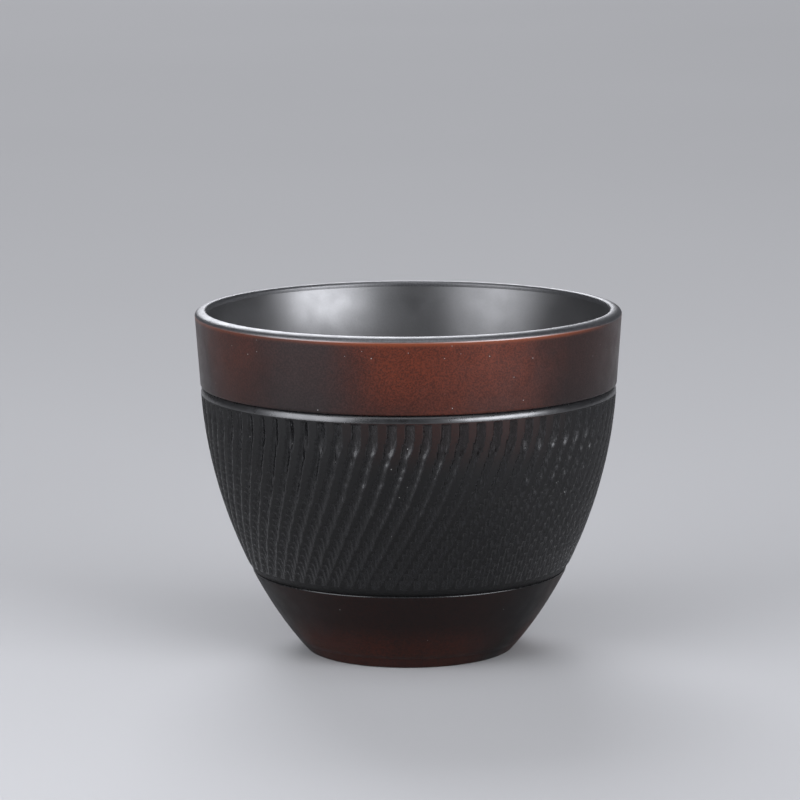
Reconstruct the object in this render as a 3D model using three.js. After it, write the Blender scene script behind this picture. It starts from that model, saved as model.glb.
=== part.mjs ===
// A handleless tea cup thrown on the wheel and turned on the outside, in millimetres.
// The cup stands on Z = 0 with its axis along +Z, and -Y is the side that faces the viewer.
// It is one clay wall, built here as the five zones that its turned lines mark off,
// stacked face to face: foot ring, lower wall with the floor, chattered belt, rim band and lip.

import * as THREE from 'three';

const degrees = Math.PI / 180;

// The cup as a whole
const rimRadius = 35;
const cupHeight = 56.7;
const footRadius = 16.9;
const rimWall = 2;
const baseWall = 3.8;
const thinningPower = 5;
const floorThickness = 3.6;
const floorFlatRadius = 9;

// The outer curve of the body leaves the foot at one angle and reaches the groove at another.
// Each pull is the length of the handle that holds the curve to its angle.
const footAngle = 47 * degrees;
const footPull = 9.2;
const shoulderTaper = 2.85 * degrees;
const shoulderPull = 21.2;

// Lip
const lipDrop = 0.9;
const lipInnerRound = 0.55;

// Rim band, whose lower edge stands over a groove
const rimBandHeight = 11.5;
const rimBandTaper = 4 * degrees;
const rimBandEdge = 0.25;

// Chattered belt: the knife marks start under a smooth bead, and lean and widen as they go down.
// The widths are shares of the distance from one mark to the next.
const beadHeight = 1.25;
const beadDepth = 0.65;
const fluteCount = 75;
const fluteDepth = 0.35;
const fluteEntry = 0.5;
const fluteWall = 0.06;
const fluteTopWidth = 0.36;
const fluteBottomWidth = 0.8;
const fluteSweep = 23.5 * degrees;
const fluteSweepPower = 1.65;
const beltRunOut = 1.2;

// Lower wall and foot
const lowerWallHeight = 13.75;
const ledgeDepth = 0.25;
const recessDepth = 1.8;
const footRingWidth = 3.4;
const recessDraft = 0.8;

// Fineness of the facets
const turnedSides = 72;
const roundSteps = 3;
const lipSteps = 5;
const bodySteps = 4;
const bandInsideSteps = 3;
const beltInsideSteps = 5;
const fluteRows = 8;
const curveHalvings = 40;
const slopeReach = 0.05;

// Heights and radii that follow from the driving dimensions
const cornerHeight = cupHeight - lipDrop;
const grooveHeight = cornerHeight - rimBandHeight;
const grooveRadius = rimRadius - rimBandHeight * Math.tan(rimBandTaper);
const floorHeight = recessDepth + floorThickness;
const fluteTop = grooveHeight - beadHeight;
const fluteBottom = lowerWallHeight + beltRunOut;

const bodyCurve = new THREE.CubicBezierCurve(
  new THREE.Vector2(footRadius, 0),
  new THREE.Vector2(footRadius + footPull * Math.cos(footAngle), footPull * Math.sin(footAngle)),
  new THREE.Vector2(
    grooveRadius - shoulderPull * Math.sin(shoulderTaper),
    grooveHeight - shoulderPull * Math.cos(shoulderTaper),
  ),
  new THREE.Vector2(grooveRadius, grooveHeight),
);

// The body curve only climbs, so halving finds the place on it at a given height.
function bodyRadius(height) {
  let low = 0;
  let high = 1;
  for (let halving = 0; halving < curveHalvings; halving += 1) {
    const middle = (low + high) / 2;
    if (bodyCurve.getPoint(middle).y < height) {
      low = middle;
    } else {
      high = middle;
    }
  }
  return bodyCurve.getPoint(low).x;
}

// Outer radius of the wall with the groove and the knife marks filled in
function outerRadius(height) {
  if (height < grooveHeight) {
    return bodyRadius(height);
  }
  return grooveRadius + (height - grooveHeight) * Math.tan(rimBandTaper);
}

// How much a radius of the wall grows for each millimetre of height
function slopeOf(radiusAt, height) {
  return (radiusAt(height + slopeReach) - radiusAt(height - slopeReach)) / (2 * slopeReach);
}

// The wall, measured square to its outer face, keeps its thickness low down and thins towards the lip.
function innerRadius(height) {
  const wall = THREE.MathUtils.lerp(baseWall, rimWall, (height / cornerHeight) ** thinningPower);
  return outerRadius(height) - wall * Math.hypot(1, slopeOf(outerRadius, height));
}

// Points on a surface of the wall from one height to another, both ends included
function wallPoints(radiusAt, from, to, steps) {
  return Array.from({ length: steps + 1 }, (_, step) => {
    const height = THREE.MathUtils.lerp(from, to, step / steps);
    return new THREE.Vector2(radiusAt(height), height);
  });
}

// A quarter of an oval, turned anticlockwise from one angle to the other in degrees
function quarterOval(centre, width, height, from, to, steps) {
  const curve = new THREE.EllipseCurve(
    centre.x, centre.y, width, height, from * degrees, to * degrees,
  );
  return curve.getPoints(steps);
}

// A profile runs up the outside and down the inside, and is turned round the axis.
function turn(profile, sides) {
  const geometry = new THREE.LatheGeometry(profile, sides);
  geometry.rotateX(Math.PI / 2);
  return geometry;
}

function closed(profile) {
  return [...profile, profile[0].clone()];
}

function footRing() {
  const recessRadius = footRadius - footRingWidth;
  return turn(closed([
    ...wallPoints(outerRadius, 0, recessDepth, 2),
    new THREE.Vector2(recessRadius - recessDraft, recessDepth),
    new THREE.Vector2(recessRadius, 0),
  ]), turnedSides);
}

// The lower wall carries the floor, and a small ledge round its top catches the light.
function lowerWall() {
  const ledgeRadius = outerRadius(lowerWallHeight) - ledgeDepth;
  const innerTop = innerRadius(lowerWallHeight);
  const innerSlope = slopeOf(innerRadius, lowerWallHeight);
  const bowl = new THREE.QuadraticBezierCurve(
    new THREE.Vector2(innerTop, lowerWallHeight),
    new THREE.Vector2(innerTop - innerSlope * (lowerWallHeight - floorHeight), floorHeight),
    new THREE.Vector2(floorFlatRadius, floorHeight),
  );
  return turn([
    new THREE.Vector2(0, recessDepth),
    ...wallPoints(outerRadius, recessDepth, lowerWallHeight - ledgeDepth, bodySteps),
    new THREE.Vector2(ledgeRadius, lowerWallHeight),
    ...bowl.getPoints(2 * roundSteps),
    new THREE.Vector2(0, floorHeight),
  ], turnedSides);
}

// How far down the belt a height is, from 0 at the top of the knife marks to 1 at their end
function fluteFall(height) {
  return THREE.MathUtils.clamp((fluteTop - height) / (fluteTop - fluteBottom), 0, 1);
}

// The lines along one knife mark: the crest, the foot of its steep side and the end of the slope back up
function fluteLines(fall) {
  return [
    { across: 0, depth: 0 },
    { across: fluteWall, depth: fluteDepth },
    { across: THREE.MathUtils.lerp(fluteTopWidth, fluteBottomWidth, fall), depth: 0 },
  ];
}

// The marks drift round the cup as they go down, clockwise seen from above.
function chatteredBelt() {
  const beadCentre = new THREE.Vector2(outerRadius(fluteTop) - beadDepth, fluteTop);
  const flutes = wallPoints(outerRadius, fluteBottom, fluteTop - fluteEntry, fluteRows);
  const profile = closed([
    new THREE.Vector2(outerRadius(lowerWallHeight) - ledgeDepth, lowerWallHeight),
    ...flutes,
    ...quarterOval(beadCentre, beadDepth, beadHeight, 0, 90, roundSteps),
    ...wallPoints(innerRadius, grooveHeight, lowerWallHeight, beltInsideSteps),
  ]);
  const linesEach = fluteLines(0).length;
  const columns = fluteCount * linesEach;
  const geometry = turn(profile, columns);

  // The turned ring comes column by column, so each column becomes one line of the knife marks.
  const position = geometry.getAttribute('position');
  for (let index = 0; index < position.count; index += 1) {
    const column = Math.floor(index / profile.length) % columns;
    const row = index % profile.length;
    const height = profile[row].y;
    const fall = fluteFall(height);
    const flute = Math.floor(column / linesEach);
    const line = fluteLines(fall)[column % linesEach];
    const inCut = row > 1 && row <= flutes.length;
    const radius = profile[row].x - (inCut ? line.depth : 0);
    const drift = -fluteSweep * fall ** fluteSweepPower;
    const angle = (flute + line.across) / fluteCount * 2 * Math.PI + drift;
    position.setXYZ(index, radius * Math.cos(angle), radius * Math.sin(angle), height);
  }
  return geometry;
}

// The rim band is smooth, and its lower edge is rounded where it stands over the groove.
function rimBand() {
  const edgeHeight = grooveHeight + rimBandEdge;
  const edgeCentre = new THREE.Vector2(outerRadius(edgeHeight) - rimBandEdge, edgeHeight);
  return turn(closed([
    ...quarterOval(edgeCentre, rimBandEdge, rimBandEdge, -90, 0, roundSteps),
    new THREE.Vector2(rimRadius, cornerHeight),
    ...wallPoints(innerRadius, cornerHeight, grooveHeight, bandInsideSteps),
  ]), turnedSides);
}

// The lip rises in a quarter oval from its outer corner to a crown near the inside, then rounds in.
function lip() {
  const inside = innerRadius(cornerHeight);
  const crownRadius = inside + lipInnerRound;
  const outerCentre = new THREE.Vector2(crownRadius, cornerHeight);
  const innerCentre = new THREE.Vector2(crownRadius, cupHeight - lipInnerRound);
  return turn(closed([
    ...quarterOval(outerCentre, rimRadius - crownRadius, lipDrop, 0, 90, lipSteps),
    ...quarterOval(innerCentre, lipInnerRound, lipInnerRound, 90, 180, lipSteps).slice(1),
    new THREE.Vector2(inside, cornerHeight),
  ]), turnedSides);
}

// Fired clay, blackened in the kiln and left red-brown where the flame cleared it
function clay(color, roughness) {
  return new THREE.MeshStandardMaterial({ color, roughness, metalness: 0 });
}

function zone(name, geometry, material) {
  const mesh = new THREE.Mesh(geometry, material);
  mesh.name = name;
  return mesh;
}

const cup = new THREE.Group();
cup.add(zone('foot_ring', footRing(), clay(0x2a2422, 0.6)));
cup.add(zone('lower_wall', lowerWall(), clay(0x2f2725, 0.42)));
cup.add(zone('chattered_belt', chatteredBelt(), clay(0x2c2c2e, 0.55)));
cup.add(zone('rim_band', rimBand(), clay(0x4f3630, 0.4)));
cup.add(zone('lip', lip(), clay(0x3a3b3e, 0.35)));

export default cup;
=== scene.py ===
# %% [markdown]
# # A chatter-cut tea cup
# The real cup is thrown from one lump of clay, turned on the outside, cut with a springing knife
# and fired until it goes black, with red-brown clouds where the flame cleared it.
# The solids that are loaded here already have the right sizes. This lesson gives each zone of the
# wall a finer mesh, in the same place, and a finish that belongs to the clay.

# %% Load the solids
import math

import bmesh
import bpy
import numpy as np
from mathutils import Matrix, Vector


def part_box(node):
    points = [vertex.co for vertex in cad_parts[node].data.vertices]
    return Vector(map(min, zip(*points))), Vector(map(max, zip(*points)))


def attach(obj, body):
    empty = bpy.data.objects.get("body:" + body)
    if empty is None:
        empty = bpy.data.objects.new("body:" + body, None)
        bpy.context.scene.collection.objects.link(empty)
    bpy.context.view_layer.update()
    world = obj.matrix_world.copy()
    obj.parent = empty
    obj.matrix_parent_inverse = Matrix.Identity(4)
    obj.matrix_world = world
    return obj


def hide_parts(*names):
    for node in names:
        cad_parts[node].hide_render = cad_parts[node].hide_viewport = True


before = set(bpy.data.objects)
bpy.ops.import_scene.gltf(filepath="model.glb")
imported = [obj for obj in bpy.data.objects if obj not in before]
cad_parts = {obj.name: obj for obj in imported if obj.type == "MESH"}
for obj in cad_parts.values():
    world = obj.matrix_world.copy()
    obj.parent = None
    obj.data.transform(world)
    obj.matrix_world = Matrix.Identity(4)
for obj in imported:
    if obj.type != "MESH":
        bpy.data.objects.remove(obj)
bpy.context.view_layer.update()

mm = 0.001
hair = 0.01 * mm
print("zones of the wall:", ", ".join(sorted(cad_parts)))

# %% [markdown]
# ## Camera
# The photograph was taken with a long lens, a little above the rim. The place and the lens were found
# by matching the ellipses of the rim, the groove and the lower line, and the outline on both sides.
# A camera looks along its own -Z, so a turn of 90 degrees about X makes it look along +Y,
# less the tilt towards the table. The horizon of the photograph leans by a third of a degree.

# %% Place the camera
camera_place = Vector((-1.43, -625.6, 143.0)) * mm
camera_tilt = math.radians(9.233)
camera_lean = math.radians(-0.322)
lens = 173.2
sensor = 36.0

camera_data = bpy.data.cameras.new("camera")
camera_data.lens = lens
camera_data.sensor_width = sensor
camera = bpy.data.objects.new("camera", camera_data)
look = Matrix.Rotation(math.pi / 2 - camera_tilt, 4, "X") @ Matrix.Rotation(camera_lean, 4, "Z")
camera.matrix_world = Matrix.Translation(camera_place) @ look
bpy.context.scene.collection.objects.link(camera)
bpy.context.scene.camera = camera
print("camera stands", round(camera_place.length, 3), "m from the foot of the cup")

# %% [markdown]
# ## Floor and light
# A dark satin surface shows its lights more than its own colour, so the lights are set by what the cup
# reflects. Two boxes in front, right and left, make the two broad glows on the inside of the back wall
# and the bright stretches on the bead. They reach low, because the inside of the back wall looks
# almost level towards the front. The left box stands close and comes down nearly to the table,
# so that the floors of the knife marks catch it as streaks. A large box far behind draws the bright line
# along the crown of the lip, and a large box overhead fills the shadows and lights the table.
# Each box is described by how bright its face is, because that is what a satin surface reflects.

# %% Studio
cool_white = (0.97, 0.985, 1.05)
dim_room = (0.08, 0.08, 0.084, 1)


def softbox(name, azimuth, elevation, distance, width, height, brightness):
    """An area light aimed at the cup. Azimuth 0 is the camera's side and grows to the right."""
    turned = math.radians(azimuth)
    raised = math.radians(elevation)
    level = math.cos(raised)
    aim = Vector((math.sin(turned) * level, -math.cos(turned) * level, math.sin(raised)))
    data = bpy.data.lights.new(name, "AREA")
    data.shape = "RECTANGLE"
    data.size = width
    data.size_y = height
    data.energy = brightness * math.pi * width * height
    data.color = cool_white
    light = bpy.data.objects.new(name, data)
    facing = aim.to_track_quat("Z", "Y").to_matrix().to_4x4()
    light.matrix_world = Matrix.Translation(aim * distance) @ facing
    bpy.context.scene.collection.objects.link(light)


softbox("right_box", azimuth=51, elevation=14, distance=1.0, width=0.80, height=0.36, brightness=13.5)
softbox("left_box", azimuth=-55, elevation=19, distance=0.45, width=0.36, height=0.30, brightness=5.7)
softbox("back_box", azimuth=-171, elevation=35, distance=9.0, width=4.4, height=6.0, brightness=6.5)
softbox("overhead_box", azimuth=0, elevation=64, distance=4.0, width=4.6, height=4.0, brightness=1.4)

world = bpy.data.worlds.new("studio")
world.use_nodes = True
world.node_tree.nodes["Background"].inputs["Color"].default_value = dim_room
bpy.context.scene.world = world
bpy.context.scene.view_settings.view_transform = "Standard"

floor_reach = 6.0
floor_mesh = bpy.data.meshes.new("floor")
floor_bm = bmesh.new()
bmesh.ops.create_grid(floor_bm, x_segments=1, y_segments=1, size=floor_reach)
floor_bm.to_mesh(floor_mesh)
floor_bm.free()
floor = bpy.data.objects.new("floor", floor_mesh)
bpy.context.scene.collection.objects.link(floor)
print("four soft boxes and a floor of", 2 * floor_reach, "m")

# %% [markdown]
# ## Sizes of the wall
# Every piece below is turned from one outline, so the outline comes first. The heights where the zones
# meet are read from the solids. The outer curve leaves the foot at one angle and comes up to the groove
# nearly upright: a cubic curve with a handle at each end gives that with four numbers.
# The inside follows the outside at the thickness of the wall, which thins only near the lip,
# so the inside opens out there.

# %% Outline of the cup
recess_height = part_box("foot_ring")[1][2]
line_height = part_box("lower_wall")[1][2]
groove_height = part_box("chattered_belt")[1][2]
corner_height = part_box("rim_band")[1][2]
crown_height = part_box("lip")[1][2]
rim_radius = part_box("lip")[1][0]

foot_radius = 16.9 * mm
foot_angle = math.radians(47)
foot_pull = 9.2 * mm
shoulder_taper = math.radians(2.85)
shoulder_pull = 21.2 * mm
band_taper = math.radians(4)
rim_wall = 2.0 * mm
base_wall = 3.8 * mm
wall_power = 5
slope_reach = 0.3 * mm
curve_points = 800

groove_radius = rim_radius - (corner_height - groove_height) * math.tan(band_taper)
handles = np.array([
    (foot_radius, 0),
    (foot_radius + foot_pull * math.cos(foot_angle), foot_pull * math.sin(foot_angle)),
    (groove_radius - shoulder_pull * math.sin(shoulder_taper),
     groove_height - shoulder_pull * math.cos(shoulder_taper)),
    (groove_radius, groove_height),
])
along = np.linspace(0, 1, curve_points)[:, None]
to_go = 1 - along
weights = np.hstack([to_go ** 3, 3 * to_go ** 2 * along, 3 * to_go * along ** 2, along ** 3])
body_curve = weights @ handles


def outer_radius(height):
    """Radius of the outer face with the groove and the knife marks filled in."""
    on_body = np.interp(height, body_curve[:, 1], body_curve[:, 0])
    return on_body + np.maximum(0, height - groove_height) * math.tan(band_taper)


def inner_radius(height):
    """Radius of the inner face, with the wall's thickness measured square to the outer face."""
    slope = (outer_radius(height + slope_reach) - outer_radius(height - slope_reach)) / (2 * slope_reach)
    wall = base_wall + (rim_wall - base_wall) * (height / corner_height) ** wall_power
    return outer_radius(height) - wall * np.hypot(1, slope)


print("rim", round(rim_radius / mm, 2), "mm, groove", round(groove_radius / mm, 2), "mm from the axis")

# %% [markdown]
# ## Tools for turning
# A potter turns a cup by holding a blade to a spinning wall. Here an outline of a few points is bent into
# shape and spun about Z. Corners are rounded on the outline, before the spin, with a vertex bevel,
# so that one small bevel makes the whole round edge. After the spin the doubles on the axis are merged
# and the normals are made to point outwards.

# %% Outline, round and spin
columns_each = 16
merge_reach = 0.0005 * mm
sharp_angle = math.radians(75)
facing_down = -0.9
recess_reach = 0.1 * mm
outside_face = 0
inside_face = 1
under_face = 2
bead_face = 2
cut_face = 3


def wall_line(radius_at, start, end, rows):
    """Points of a wall from one height to another, both ends included."""
    return [(float(radius_at(height)), float(height)) for height in np.linspace(start, end, rows + 1)]


def outline(points, closed=True):
    """A wire of radius and height points in the XZ plane, and its vertices in order."""
    bm = bmesh.new()
    corners = [bm.verts.new((radius, 0, height)) for radius, height in points]
    ends = corners[1:] + corners[:1] if closed else corners[1:]
    for start, end in zip(corners, ends):
        bm.edges.new((start, end))
    return bm, corners


def oval(centre, width, height, rows, start=0, end=90):
    """Points of an oval round its centre, from one angle to another in degrees, both ends included."""
    turns = np.radians(np.linspace(start, end, rows + 1))
    return [(float(centre[0] + width * math.cos(turn)), float(centre[1] + height * math.sin(turn)))
            for turn in turns]


def round_corner(bm, corner, reach, segments=6):
    """Rounds one corner of the outline."""
    bmesh.ops.bevel(bm, geom=[corner], offset=reach, offset_type="OFFSET", segments=segments,
                    profile=0.5, affect="VERTICES", material=-1)


def spin_round(bm, sectors=25):
    """Turns the outline into a closed ring about Z: one sector first, then copies of it all round."""
    step = 2 * math.pi / sectors
    wire = bm.verts[:] + bm.edges[:]
    bmesh.ops.spin(bm, geom=wire, cent=(0, 0, 0), axis=(0, 0, 1), angle=step, steps=columns_each)
    sector = bm.verts[:] + bm.edges[:] + bm.faces[:]
    bmesh.ops.spin(bm, geom=sector, cent=(0, 0, 0), axis=(0, 0, 1), angle=2 * math.pi - step,
                   steps=sectors - 1, use_duplicate=True)
    bmesh.ops.remove_doubles(bm, verts=bm.verts[:], dist=merge_reach)
    bmesh.ops.recalc_face_normals(bm, faces=bm.faces[:])


def sort_faces(mesh):
    """Gives faces outside, inside and under the cup their material numbers."""
    middles = np.empty(3 * len(mesh.polygons))
    normals = np.empty(3 * len(mesh.polygons))
    mesh.polygons.foreach_get("center", middles)
    mesh.polygons.foreach_get("normal", normals)
    middles = middles.reshape(-1, 3)
    radii = np.hypot(middles[:, 0], middles[:, 1])
    heights = middles[:, 2]
    looks_down = normals[2::3] < facing_down
    under = looks_down & (heights < recess_height + recess_reach)
    inside = radii < (outer_radius(heights) + inner_radius(heights)) / 2
    numbers = np.where(under, under_face, np.where(inside, inside_face, outside_face))
    mesh.polygons.foreach_set("material_index", numbers)


def keep_piece(bm, name, node):
    """Makes the ring a smooth object that stands for a zone of the solids."""
    mesh = bpy.data.meshes.new(name)
    bm.to_mesh(mesh)
    bm.free()
    sort_faces(mesh)
    mesh.polygons.foreach_set("use_smooth", [True] * len(mesh.polygons))
    mesh.set_sharp_from_angle(angle=sharp_angle)
    piece = bpy.data.objects.new(name, mesh)
    bpy.context.scene.collection.objects.link(piece)
    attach(piece, "root")
    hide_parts(node)
    print(name, "has", len(mesh.vertices), "vertices and", len(mesh.polygons), "faces")
    return piece


# %% [markdown]
# ## Foot ring
# The cup stands on a narrow ring, with a shallow recess turned out inside it so that it doesn't rock.
# The edges that touch the table are worn round.

# %% Turn the foot ring
ring_width = 3.4 * mm
recess_draft = 0.8 * mm
foot_edge = 0.35 * mm
foot_rows = 6

recess_radius = foot_radius - ring_width
bm, corners = outline(
    wall_line(outer_radius, 0, recess_height, foot_rows)
    + [(recess_radius - recess_draft, recess_height), (recess_radius, 0)]
)
round_corner(bm, corners[0], foot_edge)
round_corner(bm, corners[-1], foot_edge)
spin_round(bm)
foot_piece = keep_piece(bm, "foot_ring_turned", "foot_ring")

# %% [markdown]
# ## Lower wall and floor
# The lower wall is smooth. Where the belt starts, the turning blade left a small ledge that catches the
# light as a thin bright line. The same piece has the floor and the round bottom of the inside, which is a
# curve that leaves the wall in line with it and runs out flat. The edge where the inside goes on into the
# belt is kept sharp, because smooth shading would bend the light there and draw a ring that the cup
# doesn't have.

# %% Turn the lower wall
ledge = 0.25 * mm
floor_thickness = 3.6 * mm
floor_flat = 9.0 * mm
ledge_round = 0.12 * mm
lower_rows = 14
bowl_rows = 16

floor_height = recess_height + floor_thickness
bowl_top = float(inner_radius(line_height))
bowl_slope = (bowl_top - float(inner_radius(line_height - mm))) / mm
bowl_handle = bowl_top - bowl_slope * (line_height - floor_height)
bowl = []
for share in np.linspace(0, 1, bowl_rows + 1):
    pull = 2 * share * (1 - share)
    radius = (1 - share) ** 2 * bowl_top + pull * bowl_handle + share ** 2 * floor_flat
    height = (1 - share) ** 2 * line_height + (pull + share ** 2) * floor_height
    bowl.append((float(radius), float(height)))

ledge_corner = (float(outer_radius(line_height - ledge)), line_height - ledge)
bm, corners = outline(
    [(0, recess_height)]
    + wall_line(outer_radius, recess_height, line_height - 2 * ledge, lower_rows)
    + [ledge_corner, (float(outer_radius(line_height)) - ledge, line_height)]
    + bowl
    + [(0, floor_height)],
    closed=False,
)
round_corner(bm, corners[lower_rows + 2], ledge_round, segments=4)
spin_round(bm)
lower_piece = keep_piece(bm, "lower_wall_turned", "lower_wall")
for face in lower_piece.data.polygons:
    if face.material_index == outside_face and face.center.z > line_height - ledge:
        face.material_index = cut_face
for edge in lower_piece.data.edges:
    ends = [lower_piece.data.vertices[index].co for index in edge.vertices]
    if all(end.z > line_height - hair and end.xy.length < bowl_top + hair for end in ends):
        edge.use_edge_sharp = True

# %% [markdown]
# ## Chattered belt
# A springing knife held against the turning cup jumps, and each jump scoops out a short mark with one sharp
# side. One turn leaves a ring of marks. The potter then lowers the knife a little and the next ring lands
# slightly round from the last, so the marks line up into leaning columns. A bump map would not show in the
# outline of the cup, so the marks are cut into the mesh. The same process is followed here: the belt is
# spun smooth with many columns, and each of its points is moved in by the deepest mark that covers it.
# On the inside the rows stand closer together at both ends, so that the shading runs on smoothly
# into the next zones.

# %% Spin the belt smooth
mark_count = 75
bead_height = 1.25 * mm
bead_depth = 0.65 * mm
run_out = 1.2 * mm
belt_rows = 64
entry_rows = 4
entry_height = 0.7 * mm
bead_rows = 7
inside_rows = 5

cut_top = groove_height - bead_height
cut_bottom = line_height + run_out
bead_middle = (float(outer_radius(cut_top)) - bead_depth, cut_top)
inside_shares = (1 + np.cos(np.linspace(0, math.pi, inside_rows + 1))) / 2
inside_heights = line_height + (groove_height - line_height) * inside_shares
bm, corners = outline(
    [(float(outer_radius(line_height)) - ledge, line_height)]
    + wall_line(outer_radius, cut_bottom, cut_top - entry_height, belt_rows)
    + wall_line(outer_radius, cut_top - entry_height, cut_top, entry_rows)[1:]
    + oval(bead_middle, bead_depth, bead_height, bead_rows)[1:]
    + [(float(inner_radius(height)), float(height)) for height in inside_heights]
)
spin_round(bm, mark_count)
print("belt spun with", mark_count * columns_each, "columns")

# %% [markdown]
# A mark is shaped like half a leaf. It is deepest beside its steep left side, curves up to the right and
# runs out to a point at its lower end. So its polished floor faces left and up, and that is where the
# bright streaks on the belt come from. The marks of the first ring are long and wide, and the last rings
# are short because the belt ends there. Each mark bites a little more or less than the next.
# The drift of a ring is rounded to whole columns of the mesh, so that the steep sides stay crisp.

# %% Cut the knife marks
first_fall = 0.3 * mm
first_blade = 5.8 * mm
first_width = math.radians(2.5)
first_feed = 1.3 * mm
blade = 2.8 * mm
feed = 1.15 * mm
mark_width = math.radians(2.0)
first_scoop = 0.36
top_scoop = 0.46
low_scoop = 0.26
leaf_power = 4.0
side_columns = 2
shortest_ring = 0.3 * blade
bite_range = (0.88, 1.08)
bite_seed = 5
uncut_top = 0.005
lean = math.radians(23.5)
lean_power = 1.65

pitch = 2 * math.pi / mark_count
column = pitch / columns_each
crest_width = 0.2 * column
least_width = 0.01 * column
cut_span = cut_top - cut_bottom
rings = [(first_fall, first_blade, first_width, first_scoop)]
for fall in np.arange(first_feed, cut_span - shortest_ring, feed):
    reach = min(blade, cut_span - fall)
    scoop = top_scoop + (low_scoop - top_scoop) * fall / cut_span
    rings.append((fall, reach, mark_width, scoop))
chance = np.random.default_rng(bite_seed)
bite = chance.uniform(*bite_range, (len(rings), mark_count))


def knife_marks(angle, height, radius):
    """How deep the knife has cut at points of the belt."""
    depth = np.zeros_like(angle)
    for ring, (fall, reach, width, steepness) in enumerate(rings):
        drift = -lean * (fall / cut_span) ** lean_power
        drift = round(drift / column) * column
        down = (cut_top - fall - height) / reach
        in_mark = (down > uncut_top) & (down < 1)
        leaf = np.where(in_mark, 1 - np.clip(down, 0, 1) ** leaf_power, 0)
        place = (angle - drift) / pitch + 0.5 / columns_each
        leaf = leaf * bite[ring, np.floor(place).astype(int) % mark_count]
        across = (place % 1) * pitch - 0.5 * column
        share = across / np.maximum(leaf * width, least_width)
        cut = steepness * width * radius * leaf * (1 - share ** 2)
        cut = cut * np.clip(across / (side_columns * column), 0, 1)
        in_cut = (across > crest_width) & (share < 1)
        depth = np.maximum(depth, np.where(in_cut, cut, 0))
    return depth


points = np.array([vertex.co for vertex in bm.verts])
radii = np.hypot(points[:, 0], points[:, 1])
on_face = radii > (outer_radius(points[:, 2]) + inner_radius(points[:, 2])) / 2
in_belt = on_face & (points[:, 2] > cut_bottom - hair) & (points[:, 2] < cut_top + hair)
angles = np.arctan2(points[:, 1], points[:, 0])
depths = knife_marks(angles, points[:, 2], radii) * in_belt
points[:, :2] *= (1 - depths / radii)[:, None]
for vertex, place in zip(bm.verts, points):
    vertex.co = place
belt_piece = keep_piece(bm, "chattered_belt_cut", "chattered_belt")
for face in belt_piece.data.polygons:
    if face.material_index == outside_face and face.center.z > cut_top:
        face.material_index = bead_face
    elif face.material_index == outside_face and depths[list(face.vertices)].max() > 0:
        face.material_index = cut_face
print(len(rings), "rings of", mark_count, "marks, deepest", round(depths.max() / mm, 3), "mm")

# %% [markdown]
# ## Rim band
# The band under the lip is smooth and flares a little. Its lower edge turns in sharply over the groove,
# which shows as a dark line above the bright bead.

# %% Turn the rim band
band_foot = float(outer_radius(groove_height))
band_edge = 0.25 * mm
band_rows = 10
band_inside_rows = 8
bm, corners = outline(
    [(band_foot - bead_depth, groove_height), (band_foot, groove_height)]
    + wall_line(outer_radius, groove_height + 2 * band_edge, corner_height, band_rows)
    + wall_line(inner_radius, corner_height, groove_height, band_inside_rows)
)
round_corner(bm, corners[1], band_edge)
spin_round(bm)
band_piece = keep_piece(bm, "rim_band_turned", "rim_band")

# %% [markdown]
# ## Lip
# The lip rises from its outer corner in a quarter oval to a crown close to the inside, and the inner edge
# is rounded where the tea leaves the cup. The oval is what draws three lines round the photographed lip:
# the crown is nearly flat and mirrors the light behind, the slope is dark, and the tight outer end
# mirrors the two lights in front.

# %% Turn the lip
lip_inner_round = 0.55 * mm
lip_round_share = 0.98
lip_rows = 18
lip_inside = float(inner_radius(corner_height))
lip_width = rim_radius - lip_inside - lip_inner_round
lip_drop = crown_height - corner_height
bm, corners = outline(
    oval((lip_inside + lip_inner_round, corner_height), lip_width, lip_drop, lip_rows)
    + [(lip_inside, crown_height), (lip_inside, corner_height)]
)
round_corner(bm, corners[-2], lip_round_share * lip_inner_round, segments=8)
spin_round(bm)
lip_piece = keep_piece(bm, "lip_turned", "lip")

# %% [markdown]
# ## Finishes
# The clay has no glaze. The plain zones are rubbed to a satin sheen, the knife leaves its cuts shiny,
# and the ridges between the cuts stay dull. All materials read Object coordinates, and all pieces sit
# at the origin, so a cloud of colour runs from one zone to the next without a break.

# %% Tools for materials
def new_finish(name):
    """A material with its nodes, its shader and the place of a point on the piece."""
    finish = bpy.data.materials.new(name)
    finish.use_nodes = True
    tree = finish.node_tree
    place = add(tree, "TexCoord", {})["Object"]
    print("finish", name)
    return finish, tree, tree.nodes["Principled BSDF"], place


def set_look(tree, shader, colour, roughness, relief, index=1.5):
    """Links colour, roughness and relief to the shader and sets its index of refraction."""
    tree.links.new(colour, shader.inputs["Base Color"])
    tree.links.new(roughness, shader.inputs["Roughness"])
    tree.links.new(relief, shader.inputs["Normal"])
    shader.inputs["IOR"].default_value = index


def add(tree, kind, sockets, **settings):
    """A node with its settings, whose sockets are given values or linked to other nodes."""
    node = tree.nodes.new("ShaderNode" + kind)
    for key, value in settings.items():
        setattr(node, key, value)
    for key, value in sockets.items():
        if isinstance(value, bpy.types.NodeSocket):
            tree.links.new(value, node.inputs[key])
        else:
            node.inputs[key].default_value = value
    return node.outputs


def mix(tree, share, first, second):
    """A colour between two colours."""
    return add(tree, "Mix", {0: share, 6: first, 7: second}, data_type="RGBA")[2]


def ease(tree, value, low, high, start=0.0, end=1.0):
    """A value that goes smoothly from start to end while the given one goes from low to high."""
    return add(tree, "MapRange", {0: value, 1: low, 2: high, 3: start, 4: end},
               interpolation_type="SMOOTHSTEP")[0]


def times(tree, first, second):
    """The product of two values."""
    return add(tree, "Math", {0: first, 1: second}, operation="MULTIPLY")[0]


def larger(tree, first, second):
    """The larger of two values."""
    return add(tree, "Math", {0: first, 1: second}, operation="MAXIMUM")[0]


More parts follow.
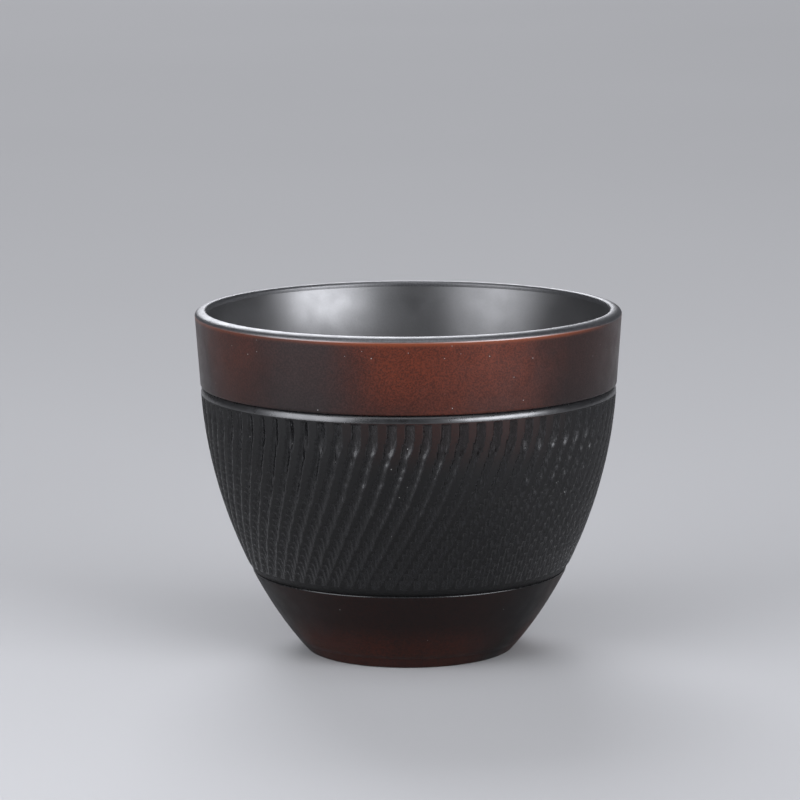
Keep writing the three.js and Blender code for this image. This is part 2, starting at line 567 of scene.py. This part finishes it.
def noise(tree, place, size, detail=3.0, roughness=0.5):
    """Noise with features of the given size in metres."""
    return add(tree, "TexNoise", {"Vector": place, "Scale": 1 / size, "Detail": detail,
                                  "Roughness": roughness})[0]


def grain_bump(tree, height, depth):
    """Small hills and pits of the given depth in metres."""
    return add(tree, "Bump", {"Strength": 1.0, "Distance": depth, "Height": height})[0]


soot = (0.0038, 0.0037, 0.0038, 1)
smoke = (0.0085, 0.0088, 0.0100, 1)
worn_grey_and_sheen = (0.034, 0.035, 0.038, 1)
ember = (0.125, 0.023, 0.0078, 1)
bare_orange = (0.15, 0.037, 0.014, 1)
speck = (0.30, 0.30, 0.29, 1)
brown_black = (0.022, 0.011, 0.008, 1)
pale_grey = (0.41, 0.41, 0.41, 1)
paler_grey = (0.44, 0.44, 0.44, 1)

# %% [markdown]
# The kiln clouds are placed round the cup. Each cloud has a direction, and the angle between that
# direction and a point of the wall says how far the point is from the middle of the cloud.
# Noise frays the edges. A cloud is written as its azimuth, half width, fade and strength.

# %% Tools for kiln clouds
def heading(tree, place, fray=0.0):
    """The direction of a point from the axis of the cup, frayed by noise of the given size in metres."""
    flat = add(tree, "VectorMath", {0: place, 1: (1, 1, 0)}, operation="MULTIPLY")[0]
    if fray:
        stray = add(tree, "TexNoise", {"Vector": place, "Scale": 1 / (9 * mm), "Detail": 5.0})[1]
        stray = add(tree, "VectorMath", {0: stray, 1: (0.5, 0.5, 0.5)}, operation="SUBTRACT")[0]
        stray = add(tree, "VectorMath", {0: stray, "Scale": fray}, operation="SCALE")[0]
        flat = add(tree, "VectorMath", {0: flat, 1: stray}, operation="ADD")[0]
    return add(tree, "VectorMath", {0: flat}, operation="NORMALIZE")[0]


def cloud(tree, around, azimuth, half_width, fade):
    """How much of a cloud covers a point: 1 inside the half width, fading to 0, angles in degrees."""
    turned = math.radians(azimuth)
    towards = (math.sin(turned), -math.cos(turned), 0)
    cosine = add(tree, "VectorMath", {0: around, 1: towards}, operation="DOT_PRODUCT")[1]
    angle = add(tree, "Math", {0: cosine}, operation="ARCCOSINE")[0]
    return ease(tree, angle, math.radians(half_width + fade), math.radians(half_width))


def kiln_cover(tree, around, clouds):
    """The largest cover of the clouds."""
    cover = None
    for azimuth, half_width, fade, strength in clouds:
        one = times(tree, cloud(tree, around, azimuth, half_width, fade), strength)
        cover = one if cover is None else larger(tree, cover, one)
    return cover


def sparse_specks(tree, place, colour):
    """A few pale grains of sand that the polishing has laid open."""
    sand = add(tree, "TexVoronoi", {"Vector": place, "Scale": 1 / (1.4 * mm)}, feature="F1")
    near = ease(tree, sand["Distance"], 0.03, 0.07, 1.0, 0.0)
    chosen = ease(tree, add(tree, "SeparateXYZ", {0: sand["Color"]})[0], 0.66, 0.80)
    return mix(tree, times(tree, near, chosen), colour, speck)


def bare_edge(tree, nearness, around, colour):
    """The corner under the lip, rubbed bare where the kiln left it red. Nearness is 1 at the corner."""
    worn = kiln_cover(tree, around, [(12, 24, 36, 1.0), (-60, 30, 30, 0.4), (150, 40, 40, 0.7)])
    edge = times(tree, nearness, nearness)
    return mix(tree, times(tree, edge, worn), colour, bare_orange)


# %% [markdown]
# The rim band has the largest clouds, red-brown where the flame cleared the soot. Fine dark grain breaks up
# the colour, and the red is strongest towards the lip.

# %% Rim band clouds
band_clouds = [(11, 7, 36, 0.82), (-54, 4, 24, 0.34), (140, 18, 40, 0.8), (-150, 12, 34, 0.5)]
band_finish, tree, shader, place = new_finish("kiln_clouds")
height = add(tree, "SeparateXYZ", {0: place})[2]
around = heading(tree, place, 12 * mm)
patchy = ease(tree, noise(tree, place, 7 * mm, 3.0), 0.35, 0.62, 0.80, 1.0)
cover = larger(tree, times(tree, kiln_cover(tree, around, band_clouds), patchy), 0.12)
grain = noise(tree, place, 0.3 * mm, 4.0, 0.7)
fleck = ease(tree, grain, 0.36, 0.62, 0.45, 1.0)
rising = ease(tree, height, groove_height - 2 * mm, corner_height - 3 * mm, 0.45, 1.0)
redness = times(tree, times(tree, cover, rising), fleck)
colour = mix(tree, redness, mix(tree, ease(tree, grain, 0.4, 0.7), soot, smoke), ember)
nearness = ease(tree, height, corner_height - 0.9 * mm, corner_height)
colour = bare_edge(tree, nearness, heading(tree, place), colour)
colour = sparse_specks(tree, place, colour)
roughness = ease(tree, noise(tree, place, 3 * mm), 0.3, 0.7, 0.32, 0.39)
relief = grain_bump(tree, grain, 0.014 * mm)
set_look(tree, shader, colour, roughness, relief, 1.3)

# %% [markdown]
# The lower wall has fainter clouds of the same kind, which are strongest near the foot. It is rubbed less
# than the rim band, so it is rougher and mirrors less.

# %% Lower wall clouds
foot_clouds = [(-30, 14, 30, 0.26), (8, 14, 36, 0.20), (95, 16, 30, 0.3), (-140, 20, 30, 0.3)]
low_finish, tree, shader, place = new_finish("kiln_clouds_low")
height = add(tree, "SeparateXYZ", {0: place})[2]
cover = kiln_cover(tree, heading(tree, place, 12 * mm), foot_clouds)
sinking = ease(tree, height, 3 * mm, 9 * mm, 1.0, 0.25)
grain = noise(tree, place, 0.4 * mm, 4.0, 0.75)
redness = times(tree, times(tree, cover, sinking), ease(tree, grain, 0.36, 0.62, 0.3, 1.0))
colour = sparse_specks(tree, place, mix(tree, redness, soot, ember))
roughness = ease(tree, noise(tree, place, 3 * mm), 0.3, 0.7, 0.42, 0.50)
relief = grain_bump(tree, grain, 0.014 * mm)
set_look(tree, shader, colour, roughness, relief, 1.22)

# %% [markdown]
# Smoke settles evenly inside a cup, so the inside is black without red. Its dense skin mirrors more than
# plain clay, which is why the index of refraction is high, and shows the front lights as soft glows.
# Low on the back wall, to the left, the skin is a little duller and the glow spreads out.

# %% Smoked inside
inside_finish, tree, shader, place = new_finish("smoked_satin")
height = add(tree, "SeparateXYZ", {0: place})[2]
grain = noise(tree, place, 0.4 * mm, 4.0, 0.6)
colour = mix(tree, ease(tree, grain, 0.35, 0.65), soot, smoke)
satin = ease(tree, noise(tree, place, 4 * mm), 0.3, 0.7, 0.37, 0.42)
low_down = ease(tree, height, 46 * mm, 54 * mm, 0.14, 0.0)
duller = times(tree, cloud(tree, heading(tree, place), -152, 22, 26), low_down)
roughness = add(tree, "Math", {0: satin, 1: duller}, operation="ADD")[0]
relief = grain_bump(tree, grain, 0.008 * mm)
set_look(tree, shader, colour, roughness, relief, 2.05)

# %% [markdown]
# The lip is touched most, and the soot is rubbed thin there. Its grey colour is partly that worn soot and
# partly painted sheen, standing in for the soft overhead light on its slope. Its outer corner is bare and
# orange where the kiln left the clay red.

# %% Worn lip with painted sheen
lip_finish, tree, shader, place = new_finish("worn_lip_and_painted_sheen")
flat = add(tree, "VectorMath", {0: place, 1: (1, 1, 0)}, operation="MULTIPLY")[0]
radius = add(tree, "VectorMath", {0: flat}, operation="LENGTH")[1]
grain = noise(tree, place, 0.3 * mm, 3.0, 0.6)
# The grey mixed in here is partly worn soot and partly painted sheen of the overhead light on the slope.
colour = mix(tree, ease(tree, grain, 0.35, 0.65), smoke, worn_grey_and_sheen)
nearness = ease(tree, radius, rim_radius - 0.07 * mm, rim_radius)
colour = bare_edge(tree, nearness, heading(tree, place), colour)
roughness = ease(tree, noise(tree, place, 2 * mm), 0.3, 0.7, 0.38, 0.44)
relief = grain_bump(tree, grain, 0.003 * mm)
set_look(tree, shader, colour, roughness, relief, 1.9)

# %% [markdown]
# The bead stands out under the groove, so every wipe polishes it. It is smoother than the zones round it
# and shows the lights as bright stretches.

# %% Polished bead
edge_finish, tree, shader, place = new_finish("polished_edge")
grain = noise(tree, place, 0.3 * mm, 3.0, 0.6)
colour = mix(tree, ease(tree, grain, 0.35, 0.65), soot, smoke)
roughness = ease(tree, noise(tree, place, 2 * mm), 0.3, 0.7, 0.26, 0.32)
relief = grain_bump(tree, grain, 0.005 * mm)
set_look(tree, shader, colour, roughness, relief, 1.7)

# %% [markdown]
# Between the knife marks the old turned face is left. It is dull and gritty, and a little red just under
# the bead, below the clouds of the rim band.

# %% Ridges of the belt
belt_clouds = [(14, 12, 26, 0.11), (140, 16, 30, 0.14), (-150, 10, 24, 0.1)]


def belt_redness(tree, place, grain):
    """How red the belt is: most just under the bead, below the clouds of the rim band."""
    height = add(tree, "SeparateXYZ", {0: place})[2]
    cover = kiln_cover(tree, heading(tree, place, 8 * mm), belt_clouds)
    upper = ease(tree, height, 34 * mm, 43 * mm)
    return times(tree, times(tree, cover, upper), ease(tree, grain, 0.3, 0.6, 0.4, 1.0))


ridge_finish, tree, shader, place = new_finish("belt_ridges")
grain = noise(tree, place, 0.3 * mm, 4.0, 0.7)
colour = sparse_specks(tree, place, mix(tree, belt_redness(tree, place, grain), soot, ember))
roughness = ease(tree, grain, 0.3, 0.7, 0.50, 0.60)
relief = grain_bump(tree, grain, 0.04 * mm)
set_look(tree, shader, colour, roughness, relief, 1.295)

# %% [markdown]
# The knife presses the clay smooth as it cuts, so the floors of the marks shine. Fine scratches run down
# the marks: the noise for them is drawn out along the height, and it makes the shine uneven.
# The ledge on the lower wall was cut by a blade too and gets the same finish.

# %% Floors of the knife marks
cut_finish, tree, shader, place = new_finish("cut_clay")
drawn_out = add(tree, "VectorMath", {0: place, 1: (1, 1, 0.3)}, operation="MULTIPLY")[0]
scratch = noise(tree, drawn_out, 0.26 * mm, 3.0, 0.6)
colour = mix(tree, ease(tree, scratch, 0.45, 0.75), soot, smoke)
colour = mix(tree, times(tree, belt_redness(tree, place, scratch), 0.25), colour, ember)
colour = sparse_specks(tree, place, colour)
roughness = ease(tree, scratch, 0.35, 0.65, 0.11, 0.32)
relief = grain_bump(tree, scratch, 0.022 * mm)
set_look(tree, shader, colour, roughness, relief, 1.40)

# %% [markdown]
# Nobody rubs the underside of the foot, so the clay there stays rough and brown-black.

# %% Bare clay of the foot
foot_finish, tree, shader, place = new_finish("bare_clay")
grain = noise(tree, place, 0.5 * mm, 5.0, 0.7)
colour = mix(tree, ease(tree, grain, 0.35, 0.65), soot, brown_black)
roughness = ease(tree, grain, 0.3, 0.7, 0.55, 0.7)
relief = grain_bump(tree, grain, 0.03 * mm)
set_look(tree, shader, colour, roughness, relief)

# %% [markdown]
# The table is a plain pale floor, only faintly cloudy, that takes the shadow of the cup.

# %% Floor
floor_finish, tree, shader, place = new_finish("pale_floor")
cloudy = noise(tree, place, 0.4, 2.0)
colour = mix(tree, cloudy, pale_grey, paler_grey)
tree.links.new(colour, shader.inputs["Base Color"])
shader.inputs["Roughness"].default_value = 0.9
floor.data.materials.append(floor_finish)

# %% [markdown]
# The finishes of a piece are listed in the order of the numbers on its faces: outside, inside, underside
# and cut by a blade. The belt has no underside, so its third finish is the one of the bead.

# %% Dress the pieces
dressing = {
    foot_piece: (low_finish, foot_finish, foot_finish),
    lower_piece: (low_finish, inside_finish, foot_finish, cut_finish),
    belt_piece: (ridge_finish, inside_finish, edge_finish, cut_finish),
    band_piece: (band_finish, inside_finish),
    lip_piece: (lip_finish, lip_finish),
}
for piece, finishes in dressing.items():
    for finish in finishes:
        piece.data.materials.append(finish)
print("pieces dressed:", len(dressing))
